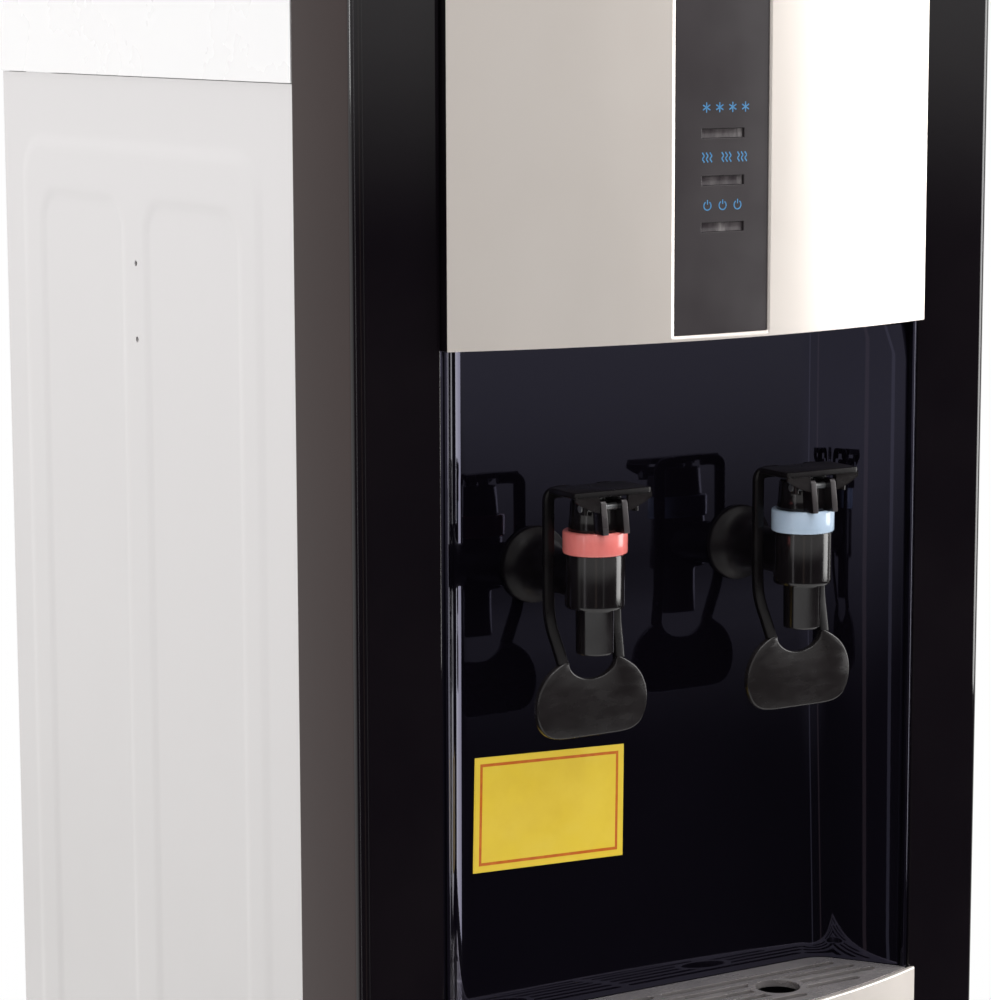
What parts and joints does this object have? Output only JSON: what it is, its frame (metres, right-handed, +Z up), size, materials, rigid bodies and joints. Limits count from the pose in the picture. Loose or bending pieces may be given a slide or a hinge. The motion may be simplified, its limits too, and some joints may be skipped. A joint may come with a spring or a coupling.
{
  "type": "bottom load water cooler",
  "caption": "Free-standing water cooler with a bottle bay and door below, a tap recess with hot and cold push taps, a drip tray and a bowed silver front.",
  "frame": {"origin": "middle of the footprint, on the floor", "axes": "+Z up, +Y from the front to the back, +X to the right as seen from the front"},
  "size_m": [0.31, 0.374, 1.0793],
  "materials": {
    "white_steel": "satin white paint",
    "white_plastic": "smooth white",
    "grey_steel": "plain grey",
    "black_gloss": "piano black",
    "black_plastic": "fine grain",
    "silver_finish": "satin silver",
    "strip_plastic": "dark grey",
    "grille_metal": "satin",
    "clear_lens": "smoked clear",
    "board": "board green",
    "rubber": "matt",
    "magnet": "ferrite",
    "plain_steel": "zinc plated",
    "stainless": "brushed",
    "copper": "drawn copper tube",
    "foam": "expanded foam",
    "clear_hose": "translucent silicone",
    "silicone": "translucent",
    "black_steel": "black enamel",
    "red_ring": "salmon red",
    "blue_ring": "pale blue",
    "red_plastic": "red",
    "green_plastic": "green"
  },
  "bodies": {
    "cabinet": {"base_pan": "black_plastic", "rubber_feet": "rubber", "right_side_panel": "white_steel", "left_side_panel": "white_steel", "back_panel": "grey_steel", "top_cover": "white_plastic", "mid_shelf": "plain_steel", "door_surround": "black_plastic", "door_magnet": "magnet", "front_frame": "black_gloss", "fascia_panel": "silver_finish", "indicator_strip": "strip_plastic", "indicator_lenses": "clear_lens", "circuit_boards": "board", "niche_shell": "black_gloss", "door_hinges": "plain_steel", "lever_pins": "plain_steel", "tap_nuts": "black_plastic", "probe_holder": "white_plastic", "suction_hose": "clear_hose", "water_pump": "black_plastic", "cold_tank": "stainless", "evaporator_coil": "copper", "tank_insulation": "foam", "tank_bracket": "plain_steel", "hot_tank": "stainless", "hot_insulation": "foam", "water_pipes": "clear_hose", "drain_outlet": "white_plastic", "compressor": "black_steel", "compressor_mounts": "rubber", "condenser_coil": "black_steel", "condenser_wires": "black_steel", "condenser_brackets": "black_plastic", "refrigerant_lines": "copper", "switch_housings": "black_plastic", "cord_gland": "black_plastic", "screws": "plain_steel", "hot_tap_body": "black_gloss", "hot_tap_ring": "red_ring", "hot_tap_bonnet": "black_plastic", "hot_tap_spring": "stainless", "cold_tap_body": "black_gloss", "cold_tap_ring": "blue_ring", "cold_tap_bonnet": "black_plastic", "cold_tap_spring": "stainless"},
    "hot_lever": {"hot_tap_lever": "black_gloss"},
    "cold_lever": {"cold_tap_lever": "black_gloss"},
    "hot_stem": {"hot_tap_stem": "silicone"},
    "cold_stem": {"cold_tap_stem": "silicone"},
    "door": {"door_frame": "black_gloss", "door_skin": "silver_finish", "door_liner": "white_plastic"},
    "tray": {"drip_tray": "black_plastic", "tray_front": "silver_finish"},
    "grille": {"drip_grille": "grille_metal"},
    "hot_rocker": {"hot_switch": "red_plastic"},
    "cold_rocker": {"cold_switch": "green_plastic"},
    "drain_plug": {"drain_cap": "black_plastic"},
    "probe": {"bottle_probe": "white_plastic"}
  },
  "joints": [
    {"name": "hot_lever_push", "type": "hinge", "parent": "cabinet", "child": "hot_lever", "pos_m": [-0.05145, -0.18, 0.8577], "axis": [1, 0, 0], "range_deg": [0, 12], "stiffness_Nm_per_rad": 0.6, "springref_deg": -5.73},
    {"name": "hot_stem_lift", "type": "slide", "parent": "cabinet", "child": "hot_stem", "axis": [0, 0, 1], "range_m": [0, 0.0019], "deforming": ["hot_tap_spring"]},
    {"name": "cold_lever_push", "type": "hinge", "parent": "cabinet", "child": "cold_lever", "pos_m": [0.05145, -0.18, 0.8577], "axis": [1, 0, 0], "range_deg": [0, 12], "stiffness_Nm_per_rad": 0.6, "springref_deg": -5.73},
    {"name": "cold_stem_lift", "type": "slide", "parent": "cabinet", "child": "cold_stem", "axis": [0, 0, 1], "range_m": [0, 0.0019], "deforming": ["cold_tap_spring"]},
    {"name": "door_swing", "type": "hinge", "parent": "cabinet", "child": "door", "pos_m": [-0.148, -0.14, 0.3], "axis": [0, 0, -1], "range_deg": [0, 110]},
    {"name": "tray_slide", "type": "slide", "parent": "cabinet", "child": "tray", "axis": [0, -1, 0], "range_m": [0, 0.06]},
    {"name": "grille_lift", "type": "slide", "parent": "tray", "child": "grille", "axis": [0, 0, 1], "range_m": [0, 0.03]},
    {"name": "hot_switch_rock", "type": "hinge", "parent": "cabinet", "child": "hot_rocker", "pos_m": [-0.06, 0.151, 0.93], "axis": [-1, 0, 0], "range_deg": [0, 16]},
    {"name": "cold_switch_rock", "type": "hinge", "parent": "cabinet", "child": "cold_rocker", "pos_m": [-0.02, 0.151, 0.93], "axis": [-1, 0, 0], "range_deg": [0, 16]},
    {"name": "drain_cap_pull", "type": "slide", "parent": "cabinet", "child": "drain_plug", "axis": [0, 1, 0], "range_m": [0, 0.015]},
    {"name": "probe_lift", "type": "slide", "parent": "cabinet", "child": "probe", "axis": [0, 0, 1], "range_m": [0, 0.025], "deforming": ["suction_hose"]}
  ],
  "couplings": [
    {"joint": "hot_stem_lift", "follows": "hot_lever_push", "m_per_rad": 0.009},
    {"joint": "cold_stem_lift", "follows": "cold_lever_push", "m_per_rad": 0.009}
  ]
}
